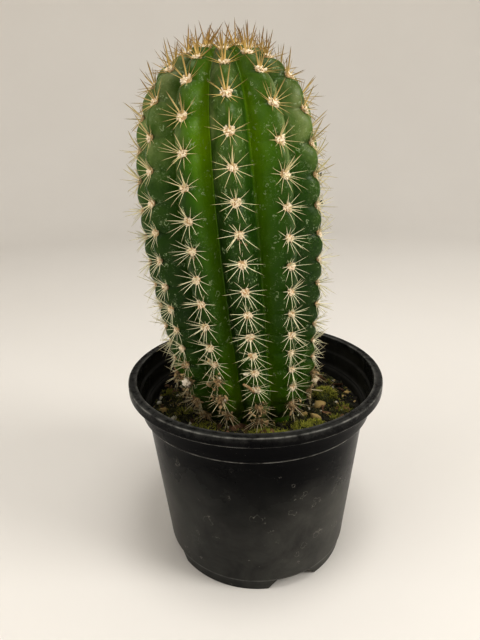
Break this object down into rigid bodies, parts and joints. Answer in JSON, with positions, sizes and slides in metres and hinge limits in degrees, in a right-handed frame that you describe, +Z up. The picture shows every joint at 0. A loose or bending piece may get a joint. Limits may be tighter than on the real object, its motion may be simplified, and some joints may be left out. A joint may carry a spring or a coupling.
{
  "type": "potted tall cactus",
  "caption": "Tall ribbed columnar cactus with rows of woolly areoles and pale spines, growing in potting soil in a round tapered plastic nursery pot with a rolled rim.",
  "frame": {"origin": "centre of the pot's foot, on the surface that it stands on", "axes": "+Z up along the pot's axis, -Y towards the viewer of the picture, +X to the viewer's right"},
  "size_m": [0.1524, 0.1524, 0.3032],
  "materials": {
    "pot_plastic": "satin black moulded plastic with fine scratches and dust",
    "soil": "damp dark potting soil, crumbly, nearly black brown",
    "bark": "rough dry bark, twig and straw-coloured scraps",
    "perlite": "matt chalky white grains",
    "moss": "fine olive green moss shoots",
    "cactus_flesh": "smooth waxy green skin, yellow-green in the valleys",
    "areole_wool": "short cream felt",
    "spines": "smooth horn-like needles, cream below and amber at the crown"
  },
  "bodies": {
    "root": {"pot": "pot_plastic", "soil": "soil", "cactus": "cactus_flesh"}
  },
  "joints": []
}
